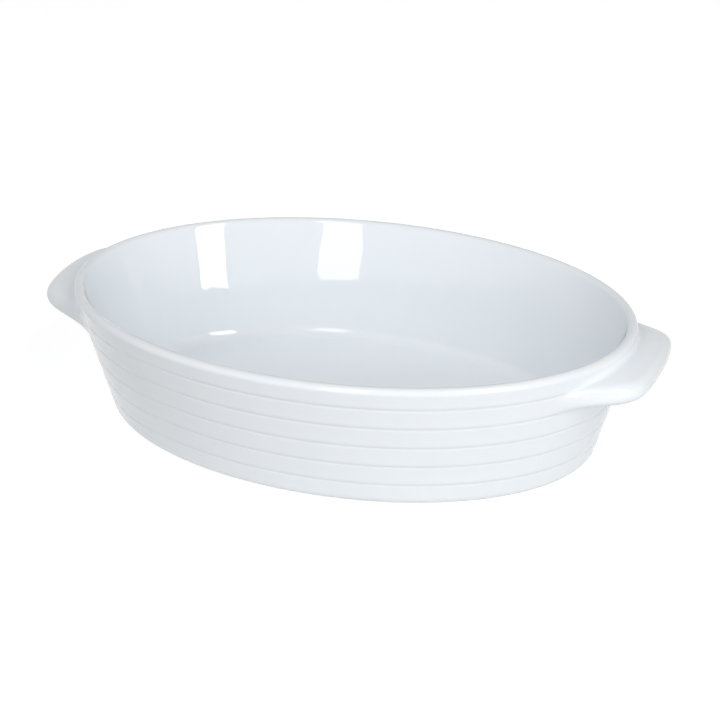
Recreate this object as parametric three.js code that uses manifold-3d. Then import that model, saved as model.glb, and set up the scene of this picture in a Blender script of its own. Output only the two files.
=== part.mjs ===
// Oval baking dish of white glazed ceramic: a banded oval bowl with a lug handle luted to each end.
// Millimetres, +Z up, +X along the dish. The origin is the middle of the face that the dish stands on.
import * as THREE from 'three';
import { mergeVertices } from 'three/addons/utils/BufferGeometryUtils.js';
import Module from 'manifold-3d';

const wasm = await Module();
wasm.setup();

// The bowl, outside
const RIM_LENGTH = 316;
const RIM_WIDTH = 225;
const HEIGHT = 74;
const WALL_SPREAD = 18.6; // how far the wall leans out between the table and the rim
const BAND_COUNT = 6;
const LOWEST_BAND_START = 1.1; // height where the lowest band would start if the base edge were sharp
const GROOVE_DEPTH = 0.8;
const GROOVE_WIDTH = 2.6;
const BASE_EDGE_RADIUS = 6;
const FOOT_WIDTH = 9; // flat ring that touches the table
const FOOT_RECESS = 1.2; // hollow of the underside inside the foot
const FOOT_RECESS_SLOPE = 2.4; // width of the slope from the foot up to the hollow

// The bowl, inside
const RIM_THICKNESS = 5.7;
const WALL_THICKNESS_AT_FLOOR = 8;
const FLOOR_THICKNESS = 4.8;
const FLOOR_FILLET = 7;

// The lug handles
const HANDLE_PROJECTION = 17; // past the rim, at the middle of the lug's edge
const HANDLE_HALF_WIDTH = 46; // where the lug still has half of its reach
const HANDLE_CORNER_SHARPNESS = 9; // power of the curve that rounds the corners and flares the root
const HANDLE_ROOT_HALF_WIDTH = 54; // where the flare has run out into the wall
const HANDLE_RUN_OUT_SHARPNESS = 10; // power of the curve that ends the flare
const HANDLE_BOW_RADIUS = 186; // of the outer edge, seen from above
const HANDLE_BELOW_RIM = 12.75; // from the rim's top down to the lug's middle
const HANDLE_DROOP = 3.2; // how much lower the lug lies at its half width than at its middle
const HANDLE_ROOT_THICKNESS = 11.6;
const HANDLE_UPPER_EDGE_RADIUS = 6.5; // round from the lug's top to its outer edge
const HANDLE_LOWER_EDGE_RADIUS = 4.5; // round from the outer edge to the lug's underside
const HANDLE_TOP_FILLET = 4;
const HANDLE_UNDERSIDE_FILLET = 5;
const HANDLE_ROOT_DEPTH = 3; // how far the lug is drawn into the wall before it is cut to fit

// The luted joints
const JOINT_GAP = 0.3;

// Fineness of the facets
const OVAL_SEGMENTS = 72;
const HALF_ARC_STEPS = 3;
const HANDLE_ROWS = 32;

const GLAZE = new THREE.MeshStandardMaterial({ color: 0xe9eef2, roughness: 0.12, metalness: 0 });

// Worked out from the sizes above
const rimCentreHeight = HEIGHT - RIM_THICKNESS / 2;
const floorHeight = FOOT_RECESS + FLOOR_THICKNESS;
const bandPitch = (HEIGHT - LOWEST_BAND_START) / BAND_COUNT;
const ovalDifference = (RIM_LENGTH - RIM_WIDTH) / 2;

// Outside half-length of the bowl at a height, over the faces of the bands
function crownHalfLength(height) {
  return RIM_LENGTH / 2 - WALL_SPREAD * (1 - height / rimCentreHeight);
}

// A round between a level face and a wall that leans out from it: how far out its centre is
function roundCentre(wallFoot, lean, radius) {
  return wallFoot + radius * (Math.tan(lean) - 1 / Math.cos(lean));
}

const outsideLean = Math.atan(WALL_SPREAD / rimCentreHeight);
const baseEdge = roundCentre(crownHalfLength(0), outsideLean, BASE_EDGE_RADIUS);
const insideFoot = crownHalfLength(floorHeight) - WALL_THICKNESS_AT_FLOOR;
const insideRim = RIM_LENGTH / 2 - RIM_THICKNESS;
const insideLean = Math.atan((insideRim - insideFoot) / (rimCentreHeight - floorHeight));
const floorEdge = roundCentre(insideFoot, insideLean, FLOOR_FILLET);

// Half-width of the oval that has this half-length. The wall is as thick and leans as much all the way
// round, so the two differ by the same length at every height. Within the flat floor they shrink in step.
function halfWidth(halfLength) {
  const floorHalfWidth = floorEdge - ovalDifference;
  return halfLength > floorEdge ? halfLength - ovalDifference : (halfLength * floorHalfWidth) / floorEdge;
}

// The outside of the bowl from the foot over the grooves between its bands, moved out by grow
function addOutside(path, grow) {
  path.lineTo(baseEdge + grow, 0);
  path.absarc(baseEdge + grow, BASE_EDGE_RADIUS, BASE_EDGE_RADIUS, -Math.PI / 2, -outsideLean, false);
  for (let groove = 1; groove < BAND_COUNT; groove++) {
    const height = LOWEST_BAND_START + bandPitch * groove;
    const lowerLip = height - GROOVE_WIDTH / 2;
    const upperLip = height + GROOVE_WIDTH / 2;
    path.lineTo(crownHalfLength(lowerLip) + grow, lowerLip);
    path.lineTo(crownHalfLength(height) - GROOVE_DEPTH + grow, height);
    path.lineTo(crownHalfLength(upperLip) + grow, upperLip);
  }
}

// A profile along the dish, turned round the Z axis into ovals
function ovalLathe(path) {
  const geometry = new THREE.LatheGeometry(path.getPoints(HALF_ARC_STEPS), OVAL_SEGMENTS);
  geometry.rotateX(Math.PI / 2);
  const position = geometry.attributes.position;
  for (let i = 0; i < position.count; i++) {
    const halfLength = Math.hypot(position.getX(i), position.getY(i));
    const narrowing = halfLength > 0 ? halfWidth(halfLength) / halfLength : 1;
    position.setY(i, position.getY(i) * narrowing);
  }
  return geometry;
}

// Foot, banded wall, rim, inside wall and floor
function bodyGeometry() {
  const profile = new THREE.Path();
  profile.moveTo(0, FOOT_RECESS);
  profile.lineTo(baseEdge - FOOT_WIDTH - FOOT_RECESS_SLOPE, FOOT_RECESS);
  profile.lineTo(baseEdge - FOOT_WIDTH, 0);
  addOutside(profile, 0);
  profile.absarc(RIM_LENGTH / 2 - RIM_THICKNESS / 2, rimCentreHeight, RIM_THICKNESS / 2, 0, Math.PI, false);
  profile.absarc(floorEdge, floorHeight + FLOOR_FILLET, FLOOR_FILLET, -insideLean, -Math.PI / 2, true);
  profile.lineTo(0, floorHeight);
  return ovalLathe(profile);
}

// The space that the lugs keep out of: the bowl filled up, with the joint gap round it
function keepOutGeometry() {
  const profile = new THREE.Path();
  profile.moveTo(0, 0);
  addOutside(profile, JOINT_GAP);
  profile.lineTo(RIM_LENGTH / 2 + JOINT_GAP, rimCentreHeight);
  profile.lineTo(RIM_LENGTH / 2 + JOINT_GAP, HEIGHT);
  profile.lineTo(0, HEIGHT);
  return ovalLathe(profile);
}

// The lugs grow out of the wall from the depth of its grooves
function handleFoot(height) {
  return crownHalfLength(height) - GROOVE_DEPTH;
}

// Where the lug stands: its middle height at the wall, and its reach there
const handleHeight = HEIGHT - HANDLE_BELOW_RIM;
const handleWall = handleFoot(handleHeight);
const handleReach = RIM_LENGTH / 2 + HANDLE_PROJECTION - handleWall;
const handleRootAngle = Math.asin(HANDLE_ROOT_HALF_WIDTH / halfWidth(handleWall));

// Where the two rounds of the lug's edge meet, from its middle height
const handleEdgeHeight = (HANDLE_LOWER_EDGE_RADIUS - HANDLE_UPPER_EDGE_RADIUS) / 2;

// The lug's section in its middle: out from the wall along x, up along y. It thins a little from the
// root to a round edge, with a fillet to the wall above and below.
function handleSection() {
  const root = HANDLE_ROOT_THICKNESS / 2;
  const top = root + HANDLE_TOP_FILLET;
  const bottom = -root - HANDLE_UNDERSIDE_FILLET;
  const upperRound = handleReach - HANDLE_UPPER_EDGE_RADIUS;
  const lowerRound = handleReach - HANDLE_LOWER_EDGE_RADIUS;
  const section = new THREE.Shape();
  section.moveTo(-HANDLE_ROOT_DEPTH, top);
  section.absarc(HANDLE_TOP_FILLET, top, HANDLE_TOP_FILLET, Math.PI, 1.5 * Math.PI, false);
  section.absarc(upperRound, handleEdgeHeight, HANDLE_UPPER_EDGE_RADIUS, Math.PI / 2, 0, true);
  section.absarc(lowerRound, handleEdgeHeight, HANDLE_LOWER_EDGE_RADIUS, 0, -Math.PI / 2, true);
  section.absarc(HANDLE_UNDERSIDE_FILLET, bottom, HANDLE_UNDERSIDE_FILLET, Math.PI / 2, Math.PI, false);
  section.lineTo(-HANDLE_ROOT_DEPTH, bottom);
  return section;
}

// Share of the full reach that the lug has at a distance from its middle: a level run, round corners,
// and a flare that runs out into the wall
function reachShare(y, halfReachWidth) {
  const flare = 1 / (1 + Math.abs(y / halfReachWidth) ** HANDLE_CORNER_SHARPNESS);
  const runOut = 1 - Math.abs(y / HANDLE_ROOT_HALF_WIDTH) ** HANDLE_RUN_OUT_SHARPNESS;
  return flare * Math.max(runOut, 0);
}

// The bowed outer edge of the lug, seen from above
function handleEdge(y) {
  return RIM_LENGTH / 2 + HANDLE_PROJECTION - HANDLE_BOW_RADIUS + Math.sqrt(HANDLE_BOW_RADIUS ** 2 - y ** 2);
}

// How much lower the lug lies than at its middle, by the angle round the oval
function handleDroop(angle) {
  const y = halfWidth(handleWall) * Math.sin(angle);
  return HANDLE_DROOP * (y / HANDLE_HALF_WIDTH) ** 2;
}

// The section carried along the wall from side to side, drooping, with its reach following the outline
function handleBlank() {
  const options = { depth: 1, steps: HANDLE_ROWS, bevelEnabled: false, curveSegments: HALF_ARC_STEPS };
  const geometry = new THREE.ExtrudeGeometry(handleSection(), options);
  const position = geometry.attributes.position;
  for (let i = 0; i < position.count; i++) {
    const out = position.getX(i);
    const angle = (1 - 2 * position.getZ(i)) * handleRootAngle;
    const height = handleHeight + position.getY(i) - handleDroop(angle);
    const wall = handleFoot(height);
    const y = halfWidth(wall) * Math.sin(angle);
    const onUpperRound = position.getY(i) > handleEdgeHeight;
    const edgeRadius = onUpperRound ? HANDLE_UPPER_EDGE_RADIUS : HANDLE_LOWER_EDGE_RADIUS;
    const inset = Math.min(handleReach - out, edgeRadius);
    const fullReach = handleEdge(y) - handleWall * Math.cos(angle);
    const reach = (fullReach * reachShare(y, HANDLE_HALF_WIDTH - inset) * out) / handleReach;
    position.setXYZ(i, wall * Math.cos(angle) + (out > 0 ? reach : out), y, height);
  }
  return geometry;
}

// A closed geometry as a solid that can be cut
function solidOf(geometry) {
  const bare = geometry.clone();
  bare.deleteAttribute('normal');
  bare.deleteAttribute('uv');
  const welded = mergeVertices(bare);
  const corners = welded.index.array;
  const kept = [];
  for (let i = 0; i < corners.length; i += 3) {
    const [a, b, c] = corners.subarray(i, i + 3);
    if (a !== b && b !== c && c !== a) kept.push(a, b, c);
  }
  const mesh = new wasm.Mesh({
    numProp: 3,
    vertProperties: new Float32Array(welded.attributes.position.array),
    triVerts: new Uint32Array(kept),
  });
  return new wasm.Manifold(mesh);
}

// The largest body that a cut leaves, without the slivers that it leaves in the grooves
function mainBody(solid) {
  return solid.decompose().reduce((main, body) => (body.volume() > main.volume() ? body : main));
}

function geometryOf(solid) {
  const mesh = solid.getMesh();
  const geometry = new THREE.BufferGeometry();
  geometry.setAttribute('position', new THREE.BufferAttribute(mesh.vertProperties, 3));
  geometry.setIndex(new THREE.BufferAttribute(mesh.triVerts, 1));
  geometry.computeVertexNormals();
  return geometry;
}

function addPart(group, name, geometry) {
  const mesh = new THREE.Mesh(geometry, GLAZE);
  mesh.name = name;
  group.add(mesh);
  return mesh;
}

const dish = new THREE.Group();
addPart(dish, 'dish_body', bodyGeometry());

// Both lugs are one shape, turned half round for the left end
const handle = geometryOf(mainBody(solidOf(handleBlank()).subtract(solidOf(keepOutGeometry()))));
addPart(dish, 'handle_right', handle);
addPart(dish, 'handle_left', handle).rotation.z = Math.PI;

export default dish;
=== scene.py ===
"""Oval baking dish of white glazed ceramic: its seen surfaces, its glaze and a plain studio.

Metres, +Z up, +X along the dish from lug to lug. The origin is the middle of the face that the dish
stands on.
"""

import math

import bpy
import numpy as np
from bpy.props import FloatProperty, FloatVectorProperty, IntProperty, PointerProperty
from bpy.types import Operator, Panel, PropertyGroup
from mathutils import Matrix, Vector


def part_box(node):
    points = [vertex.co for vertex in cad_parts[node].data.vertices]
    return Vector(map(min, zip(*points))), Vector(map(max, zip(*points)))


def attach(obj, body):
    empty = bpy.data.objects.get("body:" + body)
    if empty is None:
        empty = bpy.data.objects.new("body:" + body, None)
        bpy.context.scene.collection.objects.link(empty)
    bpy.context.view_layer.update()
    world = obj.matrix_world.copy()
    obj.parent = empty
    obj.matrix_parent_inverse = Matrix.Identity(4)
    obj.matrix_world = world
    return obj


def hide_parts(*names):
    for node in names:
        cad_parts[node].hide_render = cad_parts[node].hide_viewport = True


bl_info = {
    "name": "Oval Baking Dish",
    "version": (1, 0, 0),
    "blender": (4, 5, 0),
    "location": "View3D > Sidebar > Dish",
    "description": "Makes a banded oval baking dish with two lugs, its white glaze and a plain studio",
    "category": "Object",
}

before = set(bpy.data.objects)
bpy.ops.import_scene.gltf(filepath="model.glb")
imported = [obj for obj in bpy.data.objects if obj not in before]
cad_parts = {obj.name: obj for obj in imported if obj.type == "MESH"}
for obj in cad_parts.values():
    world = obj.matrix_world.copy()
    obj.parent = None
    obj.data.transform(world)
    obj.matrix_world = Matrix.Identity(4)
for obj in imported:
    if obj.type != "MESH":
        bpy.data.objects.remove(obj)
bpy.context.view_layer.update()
BOWL_LOW, BOWL_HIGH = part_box("dish_body")
LUG_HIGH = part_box("handle_right")[1]
FINISH = "white_glaze_over_clay"
MM = 0.001

# How finely the surfaces are divided.
BOWL_STEPS = 240
WALL_ROWS = 180
RIM_ROWS = 32
FILLET_ROWS = 30
LUG_STEPS = 75
SECTION_SPACING = 0.35 * MM
FLOOR_STEPS = 96

# How the lugs lie on the bowl: just above its wall, with a border that dips below it and a root sunk in it.
LUG_LIFT = 0.02 * MM
BORDER_DIP = 0.06 * MM
BORDER_STEPS = 4
ROOT_DEPTH = 0.6 * MM

# How far the glaze's changes go: two reaches from the wall, shares of the full change, and a height.
# The pooling and thinner-glaze shares also paint shade into grooves, inner corners, the lug's root, the rim
# and edges.
GROOVE_FADE = 6.0 * MM
ROOT_POOL_AND_SHADE_REACH = 7.0 * MM
ROOT_POOL_AND_SHADE_SHARE = 0.8
FLOOR_POOL_AND_SHADE_SHARE = 0.15
RIM_THIN_AND_SHADE_SHARE = 0.4
UPPER_EDGE_THIN_AND_SHADE_SHARE = 0.3
BARE_EDGE_HEIGHT = 0.6 * MM


def length(name, description, default):
    """A length property, with its default in metres."""
    return FloatProperty(
        name=name, description=description, default=default, min=0.0, precision=4, unit="LENGTH"
    )


def power(name, description, default):
    """A plain number above zero."""
    return FloatProperty(name=name, description=description, default=default, min=0.0)


def colour(name, description, default):
    """A linear colour."""
    return FloatVectorProperty(
        name=name, description=description, default=default, size=3, min=0.0, max=1.0, subtype="COLOR"
    )


def angle(name, description, degrees):
    """An angle, with its default in degrees."""
    return FloatProperty(name=name, description=description, default=math.radians(degrees), subtype="ANGLE")


class BowlSizes(PropertyGroup):
    """Sizes of the banded oval bowl."""

    rim_length: length("Rim Length", "Bowl from end to end over the rim", BOWL_HIGH[0] - BOWL_LOW[0])
    rim_width: length("Rim Width", "Bowl from side to side over the rim", BOWL_HIGH[1] - BOWL_LOW[1])
    height: length("Height", "From the table to the top of the rim", BOWL_HIGH[2] - BOWL_LOW[2])
    wall_spread: length("Wall Spread", "How far the wall leans out from the table to the rim", 18.6 * MM)
    band_count: IntProperty(name="Bands", description="Bands round the outside", default=6, min=1)
    lowest_band_start: length("Lowest Band Start", "Height where the lowest band would start", 1.1 * MM)
    groove_depth: length("Groove Depth", "Depth of a groove below the bands beside it", 0.3 * MM)
    groove_width: length("Groove Width", "Width of a groove from lip to lip", 2.6 * MM)
    base_edge_radius: length("Base Edge Radius", "Round between the wall and the foot", 6 * MM)
    foot_width: length("Foot Width", "Flat ring that touches the table", 9 * MM)
    foot_recess: length("Foot Recess", "Hollow of the underside inside the foot", 1.2 * MM)
    foot_slope: length("Foot Slope", "Width of the slope from the foot to the hollow", 2.4 * MM)
    rim_thickness: length("Rim Thickness", "Thickness of the round rim", 5.7 * MM)
    wall_at_floor: length("Wall at Floor", "Thickness of the wall at the floor", 8 * MM)
    floor_thickness: length("Floor Thickness", "Thickness of the floor", 4.8 * MM)
    floor_fillet: length("Floor Fillet", "Round between the floor and the inside wall", 7 * MM)


class LugSizes(PropertyGroup):
    """Sizes of the two lug handles."""

    projection: length("Projection", "Lug past the rim, at its middle", LUG_HIGH[0] - BOWL_HIGH[0])
    half_width: length("Half Width", "Where the lug still has half of its reach", 45.2 * MM)
    corner_sharpness: power("Corner Sharpness", "Power of the curve that rounds the corners", 10)
    root_half_width: length("Root Half Width", "Where the flare has run out into the wall", 58 * MM)
    run_out_sharpness: power("Run-out Sharpness", "Power of the curve that ends the flare", 10)
    bow_radius: length("Bow Radius", "Radius of the outer edge, seen from above", 186 * MM)
    below_rim: length("Below Rim", "From the rim's top down to the lug's middle", 12.75 * MM)
    droop: length("Droop", "How much lower the lug lies at its half width than at its middle", 3.2 * MM)
    root_thickness: length("Root Thickness", "Thickness of the lug at the wall", 11.6 * MM)
    upper_edge_radius: length("Upper Edge Radius", "Round from the lug's top to its outer edge", 6.5 * MM)
    lower_edge_radius: length("Lower Edge Radius", "Round from the outer edge to the underside", 4.5 * MM)
    top_fillet: length("Top Fillet", "Round between the lug's top and the wall", 4 * MM)
    underside_fillet: length("Underside Fillet", "Round between the lug's underside and the wall", 5 * MM)
    softness: length("Softness", "How far the glaze softens the lug's section", 0.8 * MM)


class GlazeLook(PropertyGroup):
    """Colours and texture of the glaze and of the bare foot, and the colours that paint shade in hollows and
    over edges.
    """

    glaze: colour("Glaze", "White glaze on open faces", (0.905, 0.947, 0.98))
    # Darker, cooler glaze that pools in grooves and inner corners, which also paints the shade that falls
    # there.
    pooled_and_shaded: colour("Pooled Glaze", "Thicker glaze in grooves and inner corners", (0.76, 0.805, 0.85))
    # Thinner glaze over edges, a neutral grey that also paints shade on the rim's top and the lug's edges.
    thin_and_shade: colour("Thin Glaze", "Thinner glaze over edges", (0.74, 0.75, 0.75))
    clay: colour("Bare Clay", "Unglazed clay of the foot ring", (0.66, 0.61, 0.54))
    clay_grain: colour("Clay Grain", "Darker grains in the bare clay", (0.45, 0.40, 0.34))
    flow_depth: length("Flow Depth", "Height of the slow waves in the glaze", 0.12 * MM)
    peel_depth: length("Peel Depth", "Height of the fine orange-peel texture", 0.0012 * MM)
    grain_depth: length("Grain Depth", "Height of the bare clay's grain", 0.08 * MM)


class StudioLook(PropertyGroup):
    """Camera, lamps and floor."""

    camera_azimuth: angle("Camera Azimuth", "Camera's way round from the front, towards +X", 21.73)
    camera_elevation: angle("Camera Elevation", "Camera's angle above the table", 25.39)
    camera_distance: length("Camera Distance", "From the aim to the camera", 936.8 * MM)
    aim_right: length("Aim Right", "Aim to the right of the origin, as the camera sees it", 6.37 * MM)
    aim_up: length("Aim Up", "Aim above the origin, as the camera sees it", 30.43 * MM)
    lens: FloatProperty(
        name="Lens", description="Focal length, on a 36 mm sensor", default=83.31, unit="CAMERA"
    )
    left_light: power("Left Light", "Soft light from the left in front, half-way up", 2.9)
    high_light: power("High Light", "Soft light from the left in front, higher up", 0.5)
    back_light: power("Back Light", "Soft light from behind on the right", 0.35)
    rear_light: power("Rear Light", "Soft light from straight behind", 0.45)
    front_light: power("Front Light", "Soft light from the front, low down", 0.14)
    right_panel: power("Right Panel", "Brightness of the standing panel on the right, where 1 is white", 7.8)
    right_panel_azimuth: angle("Right Panel Azimuth", "Right panel's way round from the front", 53.2)
    right_panel_width: length("Right Panel Width", "Width of the right panel", 0.4)
    front_panel: power("Front Panel", "Brightness of the standing panel in front, where 1 is white", 4.0)
    front_panel_azimuth: angle("Front Panel Azimuth", "Front panel's way round from the front", 1.4)
    front_panel_width: length("Front Panel Width", "Width of the front panel", 0.33)
    panel_height: length("Panel Height", "Height of both panels, which stand on the floor", 2.1)
    panel_distance: length("Panel Distance", "From the dish's middle to both panels", 1.5)
    floor: colour("Floor", "Pale floor", (0.6, 0.6, 0.6))
    floor_glow: power("Floor Glow", "Light that the floor adds of its own where it is seen", 0.7)
    floor_radius: length("Floor Radius", "Radius of the round floor", 6.0)


class DishSettings(PropertyGroup):
    """All that a user of the dish would change."""

    bowl: PointerProperty(type=BowlSizes)
    lug: PointerProperty(type=LugSizes)
    glaze: PointerProperty(type=GlazeLook)
    studio: PointerProperty(type=StudioLook)


def ease(share):
    """A smooth step from 0 to 1, level at both ends: 3 s squared less 2 s cubed, with s within 0 and 1."""
    share = np.clip(share, 0.0, 1.0)
    return share * share * (3.0 - 2.0 * share)


def round_centre(wall_foot, lean, radius):
    """How far out the centre is of a round between a level face and a wall that leans out from it."""
    return wall_foot + radius * (math.tan(lean) - 1.0 / math.cos(lean))


def arc(centre_out, centre_up, radius, start, end, count):
    """Points of a circle's arc, as (out, up) arrays, from the start angle to the end angle."""
    turn = np.linspace(start, end, count)
    return centre_out + radius * np.cos(turn), centre_up + radius * np.sin(turn)


def rows(out, up, pool=0.0, thin_and_shade=0.0, bare=0.0):
    """Profile rows, whose columns are distance out, height, pooling glaze with painted shade, thinner glaze
    with painted shade and bare clay.
    """
    return np.stack(np.broadcast_arrays(out, up, pool, thin_and_shade, bare), axis=1).astype(float)


class BowlForm:
    """The bowl's lines. A level cut is an oval, named by its half-length along X."""

    def __init__(self, sizes):
        self.sizes = sizes
        self.rim_radius = sizes.rim_thickness / 2
        self.rim_height = sizes.height - self.rim_radius
        self.floor_height = sizes.foot_recess + sizes.floor_thickness
        self.band_pitch = (sizes.height - sizes.lowest_band_start) / sizes.band_count
        self.oval_difference = (sizes.rim_length - sizes.rim_width) / 2
        self.outside_lean = math.atan(sizes.wall_spread / self.rim_height)
        self.base_edge = round_centre(self.crown(0.0), self.outside_lean, sizes.base_edge_radius)
        self.rim_centre = sizes.rim_length / 2 - self.rim_radius / math.cos(self.outside_lean)
        inside_rise = self.rim_height - self.floor_height
        inside_foot = self.crown(self.floor_height) - sizes.wall_at_floor
        inside_rim = sizes.rim_length / 2 - sizes.rim_thickness
        self.inside_lean = math.atan((inside_rim - inside_foot) / inside_rise)
        self.floor_edge = round_centre(self.inside(self.floor_height), self.inside_lean, sizes.floor_fillet)

    def crown(self, height):
        """Outside half-length over the faces of the bands: a straight line that leans out."""
        return self.sizes.rim_length / 2 - self.sizes.wall_spread * (1.0 - height / self.rim_height)

    def inside(self, height):
        """Inside half-length: a straight line that leans out and touches the round of the rim."""
        at_rim = self.rim_centre - self.rim_radius / math.cos(self.inside_lean)
        return at_rim - (self.rim_height - height) * math.tan(self.inside_lean)

    def groove(self, height):
        """Share of the groove's depth at a height: a bell curve over the distance to the nearest groove.

        A third of the groove's width from its middle the bell has fallen to one part in e. There is no groove
        above the top band or below the lowest one.
        """
        sizes = self.sizes
        nearest = np.round((height - sizes.lowest_band_start) / self.band_pitch)
        nearest = np.clip(nearest, 1, sizes.band_count - 1)
        away = height - sizes.lowest_band_start - nearest * self.band_pitch
        return np.exp(-((3.0 * away / sizes.groove_width) ** 2))

    def groove_pool_and_shade(self, height):
        """Share of pooling glaze and painted groove shade at a height: the groove's share to the power 0.6,
        which is a little wider.
        """
        return self.groove(height) ** 0.6

    def outer(self, height, grooves):
        """Outside half-length with this share of the grooves, and the rim's round from where it starts."""
        wall = self.crown(height) - self.sizes.groove_depth * grooves * self.groove(height)
        above = np.clip((height - self.rim_height) / self.rim_radius, -1.0, 1.0)
        rounded = self.rim_centre + self.rim_radius * np.sqrt(1.0 - above ** 2)
        touch = self.rim_height - self.rim_radius * math.sin(self.outside_lean)
        return np.where(height > touch, rounded, wall)

    def half_width(self, half_length):
        """Half-width of an oval: the half-length less one constant, or a share of it within the floor."""
        floor_share = (self.floor_edge - self.oval_difference) / self.floor_edge
        return np.where(
            half_length > self.floor_edge, half_length - self.oval_difference, half_length * floor_share
        )

    def ovals(self, half_length, height, turn):
        """Points at the cosine of the turn times the half-length, and its sine times the half-width."""
        x = half_length * np.cos(turn)
        y = self.half_width(half_length) * np.sin(turn)
        return np.stack(np.broadcast_arrays(x, y, height), axis=-1)

    def underside(self):
        """From the middle out: the hollow, a smooth step down to the foot, its flat and the base edge."""
        sizes = self.sizes
        ring = self.base_edge - sizes.foot_width
        hollow = np.linspace(0.0, ring - sizes.foot_slope, 12)
        step = np.linspace(0.0, 1.0, 14)[1:]
        flat = np.linspace(ring, self.base_edge, 9)[1:-1]
        step_out = ring - sizes.foot_slope * (1.0 - step)
        step_up = sizes.foot_recess * (1.0 - ease(step))
        radius = sizes.base_edge_radius
        edge = arc(self.base_edge, radius, radius, -math.pi / 2, -self.outside_lean, 20)
        return np.concatenate(
            [
                rows(hollow, sizes.foot_recess),
                rows(step_out, step_up, bare=ease(step)),
                rows(flat, 0.0, bare=1.0),
                rows(*edge, bare=1.0 - ease(edge[1] / BARE_EDGE_HEIGHT)),
            ]
        )

    def outside(self):
        """From the base edge to the rim: the line of the bands with the grooves taken off it.

        The rows crowd together at the grooves: each even height is moved by a sine with one wave to a band.
        """
        sizes = self.sizes
        low = sizes.base_edge_radius * (1.0 - math.sin(self.outside_lean))
        high = self.rim_height - self.rim_radius * math.sin(self.outside_lean)
        even = np.linspace(low, high, WALL_ROWS)
        wave = 2.0 * math.pi / self.band_pitch
        crowding = 0.75
        height = even - crowding / wave * np.sin(wave * (even - sizes.lowest_band_start))
        clear_of_ends = 0.3 * MM
        height = height[(height > low + clear_of_ends) & (height < high - clear_of_ends)]
        out = self.crown(height) - sizes.groove_depth * self.groove(height)
        # The grooves' pooling glaze also paints their shade.
        return rows(out, height, pool=self.groove_pool_and_shade(height))

    def rim(self):
        """The round of the rim, from where it touches the outside wall to where it touches the inside one."""
        start = -self.outside_lean
        end = math.pi - self.inside_lean
        out, up = arc(self.rim_centre, self.rim_height, self.rim_radius, start, end, RIM_ROWS)
        # The rim's thinner glaze also paints shade that dims its top.
        return rows(out, up, thin_and_shade=self.rim_thin_and_shade(np.linspace(start, end, RIM_ROWS)))

    def rim_thin_and_shade(self, turn):
        """Share of thinner glaze and painted shade at an angle over the rim's round: a squared sine from one
        wall to the other.
        """
        share = (turn + self.outside_lean) / (math.pi - self.inside_lean + self.outside_lean)
        return RIM_THIN_AND_SHADE_SHARE * np.sin(math.pi * np.clip(share, 0.0, 1.0)) ** 2

    def outer_thin_and_shade(self, height):
        """Share of thinner glaze and painted shade outside at a height: the rim's, and none below its round.
        """
        return self.rim_thin_and_shade(np.arcsin(np.clip((height - self.rim_height) / self.rim_radius, -1.0, 1.0)))

    def hollow(self):
        """The inside wall down to its fillet, the fillet, and the floor in to the middle."""
        sizes = self.sizes
        top = self.rim_height + self.rim_radius * math.sin(self.inside_lean)
        fillet_top = self.floor_height + sizes.floor_fillet * (1.0 - math.sin(self.inside_lean))
        height = np.linspace(top, fillet_top, 38)[1:-1]
        centre_up = self.floor_height + sizes.floor_fillet
        start = -self.inside_lean
        fillet = arc(self.floor_edge, centre_up, sizes.floor_fillet, start, -math.pi / 2, FILLET_ROWS)
        # Pooling glaze over the floor's round, most at its middle, also paints the shade of that inner
        # corner.
        pooled_and_shaded = np.sin(np.linspace(0.0, math.pi, FILLET_ROWS)) ** 2
        floor = np.linspace(self.floor_edge, 0.0, 14)[1:]
        return np.concatenate(
            [
                rows(self.inside(height), height),
                rows(*fillet, pool=FLOOR_POOL_AND_SHADE_SHARE * pooled_and_shaded),
                rows(floor, self.floor_height),
            ]
        )

    def profile(self):
        """The whole profile, from the middle of the underside round to the middle of the floor."""
        return np.concatenate([self.underside(), self.outside(), self.rim(), self.hollow()])


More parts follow.
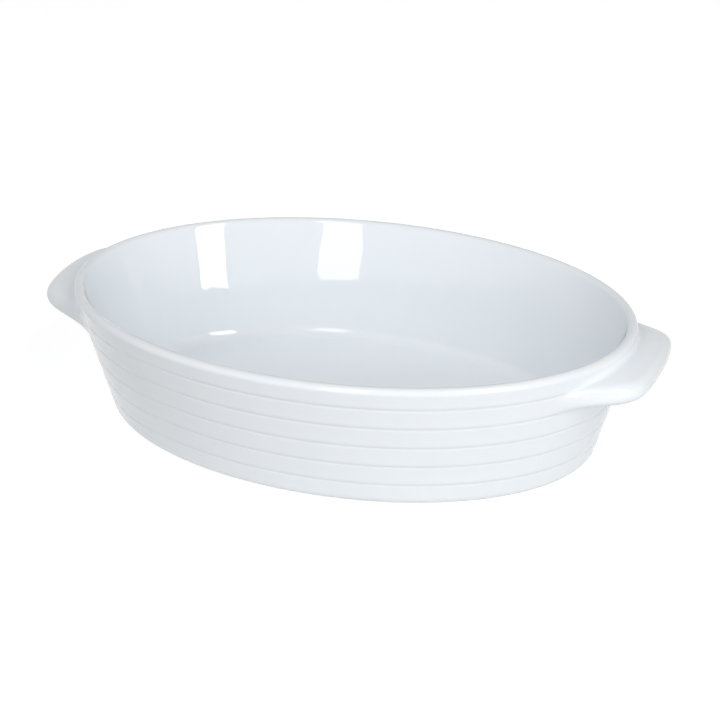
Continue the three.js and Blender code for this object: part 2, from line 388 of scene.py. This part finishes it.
class LugForm:
    """One lug's lines. It stands on the bowl's wall at the +X end."""

    def __init__(self, sizes, bowl):
        self.sizes = sizes
        self.bowl = bowl
        self.end = bowl.sizes.rim_length / 2 + sizes.projection
        self.height = bowl.sizes.height - sizes.below_rim
        self.wall = bowl.crown(self.height)
        self.reach = self.end - self.wall
        self.root_angle = math.asin(sizes.root_half_width / float(bowl.half_width(self.wall)))
        self.edge_height = (sizes.lower_edge_radius - sizes.upper_edge_radius) / 2

    def section(self, spacing):
        """The section at the lug's middle, as evenly spaced (out, up) arrays.

        From the top it has a fillet, a sloping top, a round edge, a sloping underside and a fillet. A
        bell-shaped running mean softens it, and a run of bare wall before and after keeps both ends on the
        wall.
        """
        sizes = self.sizes
        top = sizes.root_thickness / 2 + sizes.top_fillet
        bottom = -sizes.root_thickness / 2 - sizes.underside_fillet
        upper_round = self.reach - sizes.upper_edge_radius
        lower_round = self.reach - sizes.lower_edge_radius
        bell_reach = 4.0 * sizes.softness
        bare_run = 1.2 * bell_reach
        quarter = math.pi / 2
        parts = [
            (np.array([0.0]), np.array([top + bare_run])),
            arc(sizes.top_fillet, top, sizes.top_fillet, 2 * quarter, 3 * quarter, 40),
            arc(upper_round, self.edge_height, sizes.upper_edge_radius, quarter, 0.0, 40),
            arc(lower_round, self.edge_height, sizes.lower_edge_radius, 0.0, -quarter, 40),
            arc(sizes.underside_fillet, bottom, sizes.underside_fillet, quarter, 2 * quarter, 40),
            (np.array([0.0]), np.array([bottom - bare_run])),
        ]
        out = np.concatenate([part[0] for part in parts])
        up = np.concatenate([part[1] for part in parts])
        along = np.concatenate([[0.0], np.cumsum(np.hypot(np.diff(out), np.diff(up)))])
        even = np.arange(0.0, along[-1], spacing)
        half_bell = int(bell_reach / spacing)
        bell = np.exp(-0.5 * (np.arange(-half_bell, half_bell + 1) * spacing / sizes.softness) ** 2)
        bell /= bell.sum()
        soft_out = np.convolve(np.interp(even, along, out), bell, mode="valid")
        soft_up = np.convolve(np.interp(even, along, up), bell, mode="valid")
        return np.maximum(soft_out, 0.0), soft_up

    def reach_share(self, y, half_reach_width):
        """Share of the full reach at a distance from the middle.

        It is one over one plus a high power of the distance, which gives a level run, round corners and a
        flare, times a run-out that ends level on the wall.
        """
        sizes = self.sizes
        flare = 1.0 / (1.0 + np.abs(y / half_reach_width) ** sizes.corner_sharpness)
        run_out = 1.0 - np.abs(y / sizes.root_half_width) ** sizes.run_out_sharpness
        return flare * np.maximum(run_out, 0.0) ** 2

    def edge_line(self, y):
        """The bowed outer edge seen from above: an arc of a circle."""
        bow = self.sizes.bow_radius
        return self.end - bow + np.sqrt(bow ** 2 - y ** 2)

    def heights(self, turn, up):
        """Heights of the section's points, which droop with the square of the way from the lug's middle."""
        away = self.bowl.half_width(self.wall) * np.sin(turn)
        return self.height + up - self.sizes.droop * (away / self.sizes.half_width) ** 2

    def reach_at(self, turn, out, up):
        """How far a point of the section stands out from the wall, along X.

        It is the way from the wall to the edge line, times the share of the reach there, times the point's
        own share of the section.
        """
        sizes = self.sizes
        wall = self.bowl.crown(self.heights(turn, up))
        y = self.bowl.half_width(wall) * np.sin(turn)
        edge_radius = np.where(up > self.edge_height, sizes.upper_edge_radius, sizes.lower_edge_radius)
        inset = np.minimum(self.reach - out, edge_radius)
        full = self.edge_line(y) - self.wall * np.cos(turn)
        return full * self.reach_share(y, sizes.half_width - inset) * out / self.reach

    def front(self, turn, out, up, lift):
        """The lug's seen surface: the banded wall moved along X by the reach, with grooves that fade out."""
        reach = self.reach_at(turn, out, up)
        height = self.heights(turn, up)
        fading = 1.0 - ease(reach / GROOVE_FADE)
        points = self.bowl.ovals(self.bowl.outer(height, fading) + lift, height, turn)
        points[..., 0] += reach
        return points

    def back(self, turn, up, depth):
        """The lug's hidden root: the banded wall, moved in by a depth."""
        height = self.heights(turn, up)
        return self.bowl.ovals(self.bowl.outer(height, 1.0) - depth, height, turn)

    def pool(self, turn, out, up):
        """Share of pooling glaze and painted shade: the fading grooves', and a hump of painted crease shade
        over the lug's first run from the wall.
        """
        reach = self.reach_at(turn, out, up)
        grooves = self.bowl.groove_pool_and_shade(self.heights(turn, up)) * (1.0 - ease(reach / GROOVE_FADE))
        near_wall = np.clip(reach / ROOT_POOL_AND_SHADE_REACH, 0.0, 1.0)
        return grooves + ROOT_POOL_AND_SHADE_SHARE * near_wall * (1.0 - near_wall)

    def thin_and_shade(self, turn, out, up):
        """Share of thinner glaze and painted shade: the rim's, or the outer edge's where that is more.

        On the edge it is four times the squared sine times the squared cosine of the section's slope, so it
        is most on the edge's two corners. The upper one has less, and both are eased in towards full reach.
        """
        along_out = np.gradient(out)
        along_up = np.gradient(up)
        slope = along_up / np.hypot(along_out, along_up)
        corner = 4.0 * slope ** 2 * (1.0 - slope ** 2) * np.where(along_out > 0.0, UPPER_EDGE_THIN_AND_SHADE_SHARE, 1.0)
        full_reach = ease(self.reach_at(turn, out, up) / (0.5 * self.reach))
        edge = corner * ease((out / self.reach - 0.6) / 0.2) * full_reach
        return np.maximum(edge, self.bowl.outer_thin_and_shade(self.heights(turn, up)))


def new_object(name, points, faces, masks):
    """An object of these points and faces, shaded smooth, with one named point attribute for each mask."""
    mesh = bpy.data.meshes.new(name)
    mesh.from_pydata(points.tolist(), [], faces)
    for mask, values in masks.items():
        attribute = mesh.attributes.new(mask, "FLOAT", "POINT")
        attribute.data.foreach_set("value", np.ascontiguousarray(values, dtype=np.float32))
    mesh.polygons.foreach_set("use_smooth", np.ones(len(mesh.polygons), dtype=bool))
    if mesh.validate(verbose=True):
        raise RuntimeError(name + " has faults in its mesh")
    piece = bpy.data.objects.new(name, mesh)
    bpy.context.scene.collection.objects.link(piece)
    return piece


def turned_faces(ring_count, steps):
    """Faces of rings that lead from a first pole to a last one, which are the two points after the rings."""
    ring = np.arange((ring_count - 1) * steps).reshape(ring_count - 1, steps)
    beside = np.roll(ring, -1, axis=1)
    quads = np.stack([ring, beside, beside + steps, ring + steps], axis=-1).reshape(-1, 4)
    first = np.arange(steps)
    last = first + (ring_count - 1) * steps
    first_pole = np.full(steps, ring_count * steps)
    start = np.stack([first_pole, np.roll(first, -1), first], axis=-1)
    end = np.stack([first_pole + 1, last, np.roll(last, -1)], axis=-1)
    return quads.tolist() + start.tolist() + end.tolist()


def shell_faces(across, along):
    """Faces of a front and a back sheet with the same grid, and of the strip that joins their borders."""
    grid = np.arange(across * along).reshape(across, along)
    front = np.stack([grid[:-1, :-1], grid[:-1, 1:], grid[1:, 1:], grid[1:, :-1]], axis=-1).reshape(-1, 4)
    back = front[:, ::-1] + across * along
    border = np.concatenate([grid[0, :-1], grid[:-1, -1], grid[-1, :0:-1], grid[:0:-1, 0]])
    ahead = np.roll(border, -1)
    strip = np.stack([ahead, border, border + across * along, ahead + across * along], axis=-1)
    return np.concatenate([front, back, strip]).tolist()


def grid_normals(points):
    """Unit normals of a grid of points: the cross product of its central differences both ways."""
    normal = np.cross(np.gradient(points, axis=1), np.gradient(points, axis=0))
    return normal / np.linalg.norm(normal, axis=-1, keepdims=True)


def finish_piece(piece, node):
    """Gives the piece its glaze, and lets it stand for its node of the frame."""
    piece.data.materials.append(glaze_material())
    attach(piece, "root")
    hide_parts(node)


def add_node(tree, kind, values=None, **settings):
    """A node of this kind, with its settings and with values on its input sockets."""
    node = tree.nodes.new(kind)
    for name, setting in settings.items():
        setattr(node, name, setting)
    for socket, value in (values or {}).items():
        node.inputs[socket].default_value = value
    return node


def add_mix(tree, factor, first, second):
    """A colour mix. Each of first and second is a colour or an output socket."""
    node = add_node(tree, "ShaderNodeMix", data_type="RGBA")
    tree.links.new(factor, node.inputs["Factor"])
    for socket, source in ((node.inputs[6], first), (node.inputs[7], second)):
        if isinstance(source, bpy.types.NodeSocket):
            tree.links.new(source, socket)
        else:
            socket.default_value = (*source, 1.0)
    return node.outputs[2]


def add_range(tree, value, low, high, to_low, to_high):
    """A value moved from one range to another and kept within it."""
    node = add_node(
        tree,
        "ShaderNodeMapRange",
        {"From Min": low, "From Max": high, "To Min": to_low, "To Max": to_high},
        clamp=True,
    )
    tree.links.new(value, node.inputs["Value"])
    return node.outputs["Result"]


def add_noise(tree, place, scale, detail):
    """A noise pattern with this many waves to the metre."""
    node = add_node(tree, "ShaderNodeTexNoise", {"Scale": scale, "Detail": detail})
    tree.links.new(place, node.inputs["Vector"])
    return node.outputs["Fac"]


def add_mask(tree, name):
    """A mask that the piece carries as a point attribute."""
    return add_node(tree, "ShaderNodeAttribute", attribute_name=name).outputs["Fac"]


def add_bump(tree, height, distance, below=None):
    """A bump of this height in metres, laid over the normals of another bump."""
    node = add_node(tree, "ShaderNodeBump", {"Strength": 1.0, "Distance": distance})
    tree.links.new(height, node.inputs["Height"])
    if below is not None:
        tree.links.new(below, node.inputs["Normal"])
    return node.outputs["Normal"]


def glaze_material():
    """White glaze that pools cooler in hollows and thins over edges, both with painted shade, and that waves
    slowly and stops at the bare foot.
    """
    material = bpy.data.materials.get(FINISH)
    if material is not None:
        return material
    look = bpy.context.scene.oval_dish.glaze
    material = bpy.data.materials.new(FINISH)
    material.use_nodes = True
    tree = material.node_tree
    tree.nodes.clear()
    place = add_node(tree, "ShaderNodeTexCoord").outputs["Object"]

    tone = add_noise(tree, place, 14.0, 3.0)
    flow = add_noise(tree, place, 75.0, 1.0)
    peel = add_noise(tree, place, 520.0, 2.0)
    grain = add_noise(tree, place, 1600.0, 4.0)
    bare_edge = add_node(tree, "ShaderNodeMath", operation="ADD")
    tree.links.new(add_mask(tree, "bare"), bare_edge.inputs[0])
    tree.links.new(add_range(tree, flow, 0.3, 0.7, -0.3, 0.3), bare_edge.inputs[1])
    bare = add_range(tree, bare_edge.outputs[0], 0.45, 0.6, 0.0, 1.0)

    # Pooling glaze with painted shade darkens the grooves, the floor's round and the lug's root; thinner
    # glaze with painted shade dims the rim and the lug's edges.
    pooled_and_shaded = add_range(tree, add_mask(tree, "pool"), 0.0, 1.0, 0.0, 0.45)
    thinned_and_shaded = add_range(tree, add_mask(tree, "thin_and_shade"), 0.0, 1.0, 0.0, 0.6)
    seen = add_mix(tree, pooled_and_shaded, look.glaze, look.pooled_and_shaded)
    seen = add_mix(tree, thinned_and_shaded, seen, look.thin_and_shade)
    # A random tone, up to 0.12 of the way towards the pooling colour.
    seen = add_mix(tree, add_range(tree, tone, 0.35, 0.75, 0.0, 0.12), seen, look.pooled_and_shaded)
    clay = add_mix(tree, add_range(tree, grain, 0.35, 0.65, 0.0, 0.35), look.clay, look.clay_grain)
    seen = add_mix(tree, bare, seen, clay)

    gloss = add_range(tree, tone, 0.3, 0.7, 0.02, 0.035)
    roughness = add_node(tree, "ShaderNodeMix", {"B": 0.85}, data_type="FLOAT")
    tree.links.new(bare, roughness.inputs["Factor"])
    tree.links.new(gloss, roughness.inputs["A"])

    waves = add_bump(tree, flow, look.flow_depth)
    skin = add_bump(tree, peel, look.peel_depth, waves)
    bare_grain = add_node(tree, "ShaderNodeMath", operation="MULTIPLY")
    tree.links.new(grain, bare_grain.inputs[0])
    tree.links.new(bare, bare_grain.inputs[1])
    skin = add_bump(tree, bare_grain.outputs[0], look.grain_depth, skin)

    shader = add_node(tree, "ShaderNodeBsdfPrincipled", {"IOR": 1.52})
    tree.links.new(seen, shader.inputs["Base Color"])
    tree.links.new(roughness.outputs["Result"], shader.inputs["Roughness"])
    tree.links.new(skin, shader.inputs["Normal"])
    output = add_node(tree, "ShaderNodeOutputMaterial")
    tree.links.new(shader.outputs["BSDF"], output.inputs["Surface"])
    return material


def seen_directly(tree):
    """One where a camera, glossy or transmission ray asks for the colour, and nought for soft light."""
    rays = add_node(tree, "ShaderNodeLightPath")
    first = add_node(tree, "ShaderNodeMath", operation="MAXIMUM")
    tree.links.new(rays.outputs["Is Camera Ray"], first.inputs[0])
    tree.links.new(rays.outputs["Is Glossy Ray"], first.inputs[1])
    second = add_node(tree, "ShaderNodeMath", operation="MAXIMUM")
    tree.links.new(first.outputs[0], second.inputs[0])
    tree.links.new(rays.outputs["Is Transmission Ray"], second.inputs[1])
    return second.outputs[0]


def floor_material(look):
    """A pale floor that takes the dish's shadow, with a little light of its own so that it looks white."""
    material = bpy.data.materials.new("pale_floor")
    material.use_nodes = True
    tree = material.node_tree
    tree.nodes.clear()
    matte = add_node(tree, "ShaderNodeBsdfDiffuse", {"Color": (*look.floor, 1.0)})
    glow = add_node(tree, "ShaderNodeEmission", {"Strength": look.floor_glow})
    bright = add_node(tree, "ShaderNodeAddShader")
    tree.links.new(matte.outputs[0], bright.inputs[0])
    tree.links.new(glow.outputs[0], bright.inputs[1])
    choice = add_node(tree, "ShaderNodeMixShader")
    tree.links.new(seen_directly(tree), choice.inputs[0])
    tree.links.new(matte.outputs[0], choice.inputs[1])
    tree.links.new(bright.outputs[0], choice.inputs[2])
    output = add_node(tree, "ShaderNodeOutputMaterial")
    tree.links.new(choice.outputs[0], output.inputs["Surface"])
    return material


def add_glow(tree, place, azimuth, elevation, sharpness, strength):
    """Soft light from one way: the cosine of the angle from it, or zero, to a power, times a strength."""
    towards = add_node(tree, "ShaderNodeVectorMath", operation="DOT_PRODUCT")
    towards.inputs[1].default_value = around(math.radians(azimuth), math.radians(elevation))
    tree.links.new(place, towards.inputs[0])
    ahead = add_node(tree, "ShaderNodeMath", {1: 0.0}, operation="MAXIMUM")
    tree.links.new(towards.outputs["Value"], ahead.inputs[0])
    lobe = add_node(tree, "ShaderNodeMath", {1: sharpness}, operation="POWER")
    tree.links.new(ahead.outputs[0], lobe.inputs[0])
    level = add_node(tree, "ShaderNodeMath", {1: strength}, operation="MULTIPLY")
    tree.links.new(lobe.outputs[0], level.inputs[0])
    return level.outputs[0]


def light_room(look):
    """Soft light, most of it from the left in front, with a white background for all that is seen.

    Each glow has its azimuth and elevation in degrees, its sharpness and its strength.
    """
    world = bpy.data.worlds.new("studio")
    bpy.context.scene.world = world
    world.use_nodes = True
    tree = world.node_tree
    tree.nodes.clear()
    place = add_node(tree, "ShaderNodeTexCoord").outputs["Generated"]
    glows = (
        (-60.0, 45.0, 20.0, look.left_light),
        (-60.0, 66.0, 20.0, look.high_light),
        (120.0, 42.0, 4.0, look.back_light),
        (190.0, 28.0, 6.0, look.rear_light),
        (10.0, 10.0, 4.0, look.front_light),
    )
    level = add_glow(tree, place, *glows[0])
    for glow in glows[1:]:
        total = add_node(tree, "ShaderNodeMath", operation="ADD")
        tree.links.new(level, total.inputs[0])
        tree.links.new(add_glow(tree, place, *glow), total.inputs[1])
        level = total.outputs[0]
    soft = add_node(tree, "ShaderNodeBackground", {"Color": (1.0, 1.0, 1.0, 1.0)})
    tree.links.new(level, soft.inputs["Strength"])
    white = add_node(tree, "ShaderNodeBackground", {"Color": (1.0, 1.0, 1.0, 1.0), "Strength": 1.0})
    choice = add_node(tree, "ShaderNodeMixShader")
    tree.links.new(seen_directly(tree), choice.inputs[0])
    tree.links.new(soft.outputs[0], choice.inputs[1])
    tree.links.new(white.outputs[0], choice.inputs[2])
    output = add_node(tree, "ShaderNodeOutputWorld")
    tree.links.new(choice.outputs[0], output.inputs["Surface"])


def facing(place, towards):
    """The matrix of a camera or lamp at a place that looks towards a point, with its top up."""
    back = (place - towards).normalized()
    right = Vector((0.0, 0.0, 1.0)).cross(back).normalized()
    up = back.cross(right)
    matrix = Matrix((right, up, back)).transposed().to_4x4()
    matrix.translation = place
    return matrix


def around(azimuth, elevation):
    """A unit vector: azimuth from the front (-Y) towards +X, elevation above the table."""
    level = math.cos(elevation)
    return Vector((math.sin(azimuth) * level, -math.cos(azimuth) * level, math.sin(elevation)))


def add_camera(look):
    """The camera at the photograph's viewing angle, aimed a little beside and above the origin."""
    back = around(look.camera_azimuth, look.camera_elevation)
    right = Vector((math.cos(look.camera_azimuth), math.sin(look.camera_azimuth), 0.0))
    aim = look.aim_right * right + look.aim_up * back.cross(right)
    data = bpy.data.cameras.new("camera")
    data.sensor_width = 36.0
    data.lens = look.lens
    camera = bpy.data.objects.new("camera", data)
    bpy.context.scene.collection.objects.link(camera)
    camera.matrix_world = facing(aim + look.camera_distance * back, aim)
    bpy.context.scene.camera = camera


def add_panel(name, azimuth, width, height, distance, brightness):
    """A soft panel that stands on the floor: an area lamp with a face this bright, where 1 is white."""
    data = bpy.data.lights.new(name, "AREA")
    data.shape = "RECTANGLE"
    data.size = width
    data.size_y = height
    data.energy = brightness * math.pi * width * height
    lamp = bpy.data.objects.new(name, data)
    bpy.context.scene.collection.objects.link(lamp)
    place = distance * around(azimuth, 0.0)
    place.z = height / 2
    lamp.matrix_world = facing(place, Vector((0.0, 0.0, place.z)))
    lamp.visible_camera = False


class DISH_OT_stage(Operator):
    """Makes the camera, the lamps, the room's light and the pale floor"""

    bl_idname = "oval_dish.stage"
    bl_label = "Make Stage"

    def execute(self, context):
        look = context.scene.oval_dish.studio
        add_camera(look)
        light_room(look)
        for name, azimuth, width, brightness in (
            ("panel_right", look.right_panel_azimuth, look.right_panel_width, look.right_panel),
            ("panel_front", look.front_panel_azimuth, look.front_panel_width, look.front_panel),
        ):
            add_panel(name, azimuth, width, look.panel_height, look.panel_distance, brightness)
        turn = np.linspace(0.0, 2.0 * math.pi, FLOOR_STEPS + 1)[:-1]
        border = look.floor_radius * np.stack([np.cos(turn), np.sin(turn), np.zeros(FLOOR_STEPS)], axis=1)
        mesh = bpy.data.meshes.new("floor")
        mesh.from_pydata(border.tolist(), [], [list(range(FLOOR_STEPS))])
        mesh.materials.append(floor_material(look))
        floor = bpy.data.objects.new("floor", mesh)
        context.scene.collection.objects.link(floor)
        context.scene.view_settings.view_transform = "Standard"
        return {"FINISHED"}


class DISH_OT_bowl(Operator):
    """Makes the banded oval bowl: its profile carried round the oval"""

    bl_idname = "oval_dish.bowl"
    bl_label = "Make Bowl"

    def execute(self, context):
        form = BowlForm(context.scene.oval_dish.bowl)
        profile = form.profile()
        turn = np.linspace(0.0, 2.0 * math.pi, BOWL_STEPS + 1)[:-1]
        rings = profile[1:-1]
        points = form.ovals(rings[:, 0, None], rings[:, 1, None], turn[None, :]).reshape(-1, 3)
        poles = np.array([[0.0, 0.0, profile[0, 1]], [0.0, 0.0, profile[-1, 1]]])
        masks = {}
        # The masks of pooling and of thinner glaze also carry painted shade.
        for column, name in ((2, "pool"), (3, "thin_and_shade"), (4, "bare")):
            masks[name] = np.concatenate([np.repeat(rings[:, column], len(turn)), profile[[0, -1], column]])
        faces = turned_faces(len(rings), len(turn))
        piece = new_object("glazed_bowl", np.concatenate([points, poles]), faces, masks)
        finish_piece(piece, "dish_body")
        return {"FINISHED"}


class DISH_OT_lugs(Operator):
    """Makes the two lugs: a section carried along the wall, flowing out of it and back"""

    bl_idname = "oval_dish.lugs"
    bl_label = "Make Lugs"

    def execute(self, context):
        settings = context.scene.oval_dish
        form = LugForm(settings.lug, BowlForm(settings.bowl))
        out, up = form.section(SECTION_SPACING)
        turn = np.arange(-LUG_STEPS - 1, LUG_STEPS + 2)[:, None] * form.root_angle / LUG_STEPS
        # One row more on each side gives the normals of the border, and is then left off.
        normals = grid_normals(form.front(turn, out, up, LUG_LIFT))[1:-1, 1:-1]
        turn = turn[1:-1]
        out = out[1:-1]
        up = up[1:-1]
        across = np.minimum(np.arange(len(turn)), np.arange(len(turn))[::-1])
        along = np.minimum(np.arange(len(up)), np.arange(len(up))[::-1])
        risen = ease(np.minimum(across[:, None], along) / BORDER_STEPS)
        front = form.front(turn, out, up, (LUG_LIFT + BORDER_DIP) * risen - BORDER_DIP)
        back = form.back(turn, up, ROOT_DEPTH)
        faces = shell_faces(*front.shape[:2])
        points = np.concatenate([front.reshape(-1, 3), back.reshape(-1, 3)])
        shading = np.concatenate([normals.reshape(-1, 3), -normals.reshape(-1, 3)])
        hidden = np.zeros(front.shape[0] * front.shape[1])
        # The masks of pooling and of thinner glaze also carry painted shade.
        masks = {
            "pool": np.concatenate([form.pool(turn, out, up).ravel(), hidden]),
            "thin_and_shade": np.concatenate([form.thin_and_shade(turn, out, up).ravel(), hidden]),
            "bare": np.concatenate([hidden, hidden]),
        }
        for name, node, side in (
            ("glazed_lug_right", "handle_right", 1.0),
            ("glazed_lug_left", "handle_left", -1.0),
        ):
            half_turn = np.array([side, side, 1.0])
            piece = new_object(name, points * half_turn, faces, masks)
            piece.data.normals_split_custom_set_from_vertices((shading * half_turn).tolist())
            finish_piece(piece, node)
        return {"FINISHED"}


class DISH_PT_panel(Panel):
    """Lists what makes the dish, and its sizes and colours"""

    bl_idname = "DISH_PT_panel"
    bl_label = "Oval Baking Dish"
    bl_space_type = "VIEW_3D"
    bl_region_type = "UI"
    bl_category = "Dish"

    def draw(self, context):
        layout = self.layout
        for operator in OPERATORS:
            layout.operator(operator.bl_idname)
        settings = context.scene.oval_dish
        for group in (settings.bowl, settings.lug, settings.glaze, settings.studio):
            box = layout.box()
            for name in group.bl_rna.properties.keys():
                if name not in ("rna_type", "name"):
                    box.prop(group, name)


OPERATORS = (DISH_OT_stage, DISH_OT_bowl, DISH_OT_lugs)
CLASSES = (BowlSizes, LugSizes, GlazeLook, StudioLook, DishSettings, *OPERATORS, DISH_PT_panel)


def register():
    for item in CLASSES:
        bpy.utils.register_class(item)
    bpy.types.Scene.oval_dish = PointerProperty(type=DishSettings)


def unregister():
    del bpy.types.Scene.oval_dish
    for item in reversed(CLASSES):
        bpy.utils.unregister_class(item)


def main():
    """Makes the stage and the dish."""
    register()
    bpy.ops.oval_dish.stage()
    bpy.ops.oval_dish.bowl()
    bpy.ops.oval_dish.lugs()


if __name__ == "__main__":
    main()
